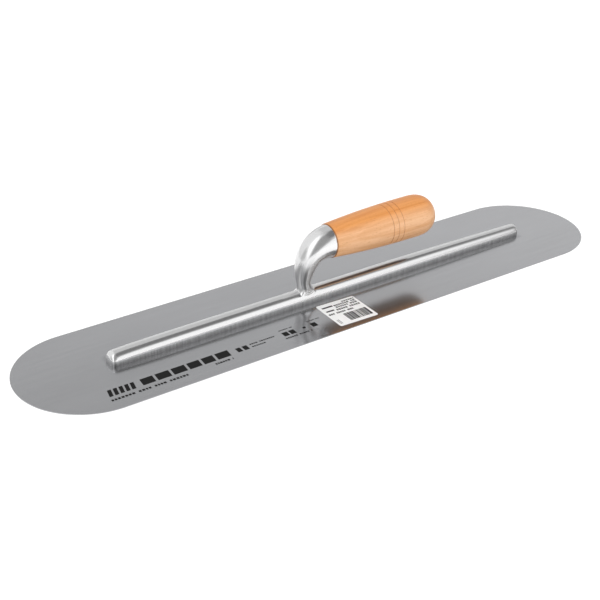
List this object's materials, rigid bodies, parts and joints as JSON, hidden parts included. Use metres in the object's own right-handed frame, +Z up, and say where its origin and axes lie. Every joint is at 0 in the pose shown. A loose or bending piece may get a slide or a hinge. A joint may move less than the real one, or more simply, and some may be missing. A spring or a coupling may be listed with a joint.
{
  "type": "steel finishing trowel",
  "caption": "Long flat steel finishing trowel with semicircular ends, a D-section aluminium bar, a gooseneck shank and a turned wooden handle.",
  "frame": {"origin": "middle of the blade's flat underside", "axes": "+X along the blade towards the butt of the handle, +Y across the blade, +Z up out of the blade towards the handle"},
  "size_m": [0.6096, 0.127, 0.0737],
  "materials": {
    "blade_steel": "ground spring steel, satin, fine lengthwise grinding lines",
    "polished_aluminium": "polished casting with faint polishing lines",
    "rivet_steel": "ground flush with the blade",
    "beech": "turned beech under a thin satin varnish",
    "zinc_plated_steel": "bright zinc plate",
    "label_paper": "white coated paper with grey print"
  },
  "bodies": {
    "root": {"blade": "blade_steel", "mounting": "polished_aluminium", "rivet_01": "rivet_steel", "rivet_02": "rivet_steel", "rivet_03": "rivet_steel", "rivet_04": "rivet_steel", "rivet_05": "rivet_steel", "rivet_06": "rivet_steel", "rivet_07": "rivet_steel", "rivet_08": "rivet_steel", "rivet_09": "rivet_steel", "rivet_10": "rivet_steel", "rivet_11": "rivet_steel", "rivet_12": "rivet_steel", "rivet_13": "rivet_steel", "rivet_14": "rivet_steel", "rivet_15": "rivet_steel", "rivet_16": "rivet_steel", "rivet_17": "rivet_steel", "rivet_18": "rivet_steel", "handle": "beech", "handle_screw": "zinc_plated_steel", "handle_washer": "zinc_plated_steel", "label": "label_paper"}
  },
  "joints": []
}
